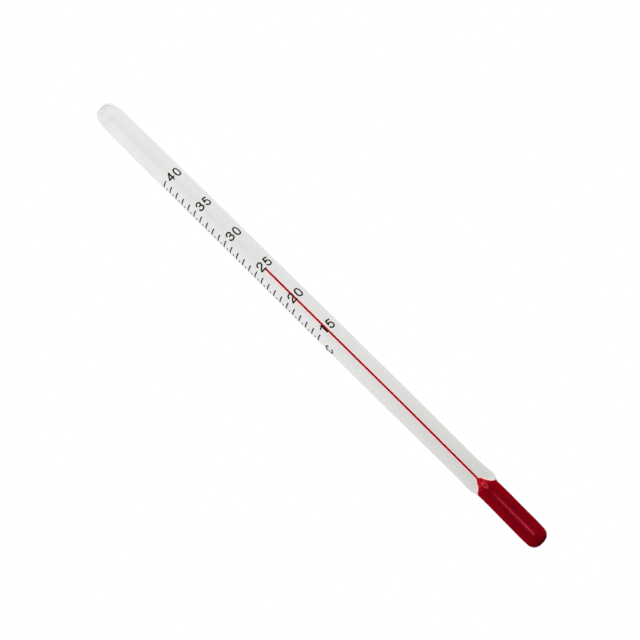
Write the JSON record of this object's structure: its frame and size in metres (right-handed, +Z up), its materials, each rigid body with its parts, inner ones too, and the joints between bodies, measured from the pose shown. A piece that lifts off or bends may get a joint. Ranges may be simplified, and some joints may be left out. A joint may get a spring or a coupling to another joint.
{
  "type": "glass stick thermometer",
  "caption": "Slim spirit-in-glass stick thermometer: clear round capillary stem with a rounded top, printed degree scale, red thread and a red spirit bulb.",
  "frame": {"origin": "lowest point of the bulb, on the axis of the bore", "axes": "+Z up the stem from the bulb to the sealed top; -Y towards the numerals; the graduation marks run round towards -X"},
  "size_m": [0.0064, 0.0064, 0.1488],
  "materials": {
    "stem_glass": "clear drawn glass, fire polished",
    "bulb_glass": "clear thin blown glass",
    "red_spirit": "dyed alcohol, deep red",
    "dark_enamel": "fired brown-black enamel, satin"
  },
  "bodies": {
    "glass": {"bulb_spirit": "red_spirit", "glass_bulb": "bulb_glass", "glass_stem": "stem_glass", "mark_15c": "dark_enamel", "mark_16c": "dark_enamel", "mark_17c": "dark_enamel", "mark_18c": "dark_enamel", "mark_19c": "dark_enamel", "mark_20c": "dark_enamel", "mark_21c": "dark_enamel", "mark_22c": "dark_enamel", "mark_23c": "dark_enamel", "mark_24c": "dark_enamel", "mark_25c": "dark_enamel", "mark_26c": "dark_enamel", "mark_27c": "dark_enamel", "mark_28c": "dark_enamel", "mark_29c": "dark_enamel", "mark_30c": "dark_enamel", "mark_31c": "dark_enamel", "mark_32c": "dark_enamel", "mark_33c": "dark_enamel", "mark_34c": "dark_enamel", "mark_35c": "dark_enamel", "mark_36c": "dark_enamel", "mark_37c": "dark_enamel", "mark_38c": "dark_enamel", "mark_39c": "dark_enamel", "mark_40c": "dark_enamel", "numeral_15_first_1": "dark_enamel", "numeral_15_second_5": "dark_enamel", "numeral_20_first_2": "dark_enamel", "numeral_20_second_0": "dark_enamel", "numeral_25_first_2": "dark_enamel", "numeral_25_second_5": "dark_enamel", "numeral_30_first_3": "dark_enamel", "numeral_30_second_0": "dark_enamel", "numeral_35_first_3": "dark_enamel", "numeral_35_second_5": "dark_enamel", "numeral_40_first_4": "dark_enamel", "numeral_40_second_0": "dark_enamel", "unit_degree_sign": "dark_enamel", "unit_letter_c": "dark_enamel"},
    "spirit_column": {"spirit_thread": "red_spirit", "thread_meniscus": "red_spirit"}
  },
  "joints": [
    {"name": "column_rise", "type": "slide", "parent": "glass", "child": "spirit_column", "axis": [0, 0, 1], "range_m": [-0.02113, 0.03277], "deforming": ["spirit_thread"]}
  ]
}
